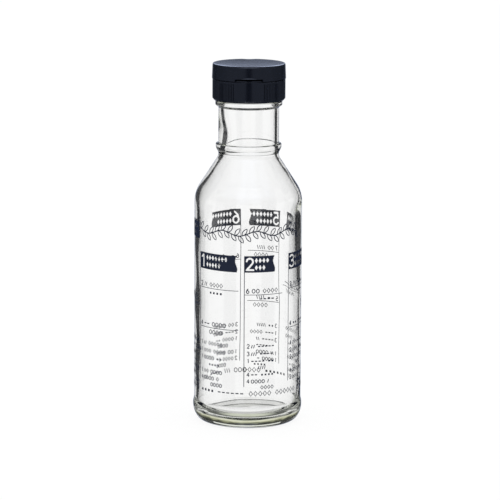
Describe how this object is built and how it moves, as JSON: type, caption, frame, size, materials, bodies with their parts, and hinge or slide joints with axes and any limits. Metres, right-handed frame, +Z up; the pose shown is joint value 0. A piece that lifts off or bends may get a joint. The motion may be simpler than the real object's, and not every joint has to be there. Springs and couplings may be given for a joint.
{
  "type": "salad dressing shaker",
  "caption": "Clear glass dressing bottle with a printed measuring chart, a black screw cap and a hinged flip lid over a round pour spout.",
  "frame": {"origin": "centre of the bottle's foot, on the surface that it stands on", "axes": "+Z up along the bottle's axis, -Y is the front with the lid's thumb notch, +Y is the hinge side, +X is to the right seen from the front"},
  "size_m": [0.0606, 0.0606, 0.1997],
  "materials": {
    "clear_glass": "clear flint glass, smooth, with thicker glass at the base",
    "seal_foam": "off-white foamed polyethylene",
    "black_plastic": "black moulded polypropylene, satin"
  },
  "bodies": {
    "bottle": {"glass_bottle": "clear_glass"},
    "seal": {"seal_ring": "seal_foam"},
    "cap": {"cap_body": "black_plastic", "living_hinge": "black_plastic"},
    "lid": {"flip_lid": "black_plastic"}
  },
  "joints": [
    {"name": "cap_lift", "type": "slide", "parent": "bottle", "child": "seal", "axis": [0, 0, 1], "range_m": [0, 0.0128]},
    {"name": "cap_turn", "type": "hinge", "parent": "seal", "child": "cap", "pos_m": [0, 0, 0.1795], "axis": [0, 0, 1], "range_deg": [0, 1080]},
    {"name": "lid_flip", "type": "hinge", "parent": "cap", "child": "lid", "pos_m": [0, 0.02085, 0.19115], "axis": [-1, 0, 0], "range_deg": [0, 170], "deforming": ["living_hinge"]}
  ],
  "couplings": [
    {"joint": "cap_lift", "follows": "cap_turn", "m_per_rad": 0.00067375}
  ]
}
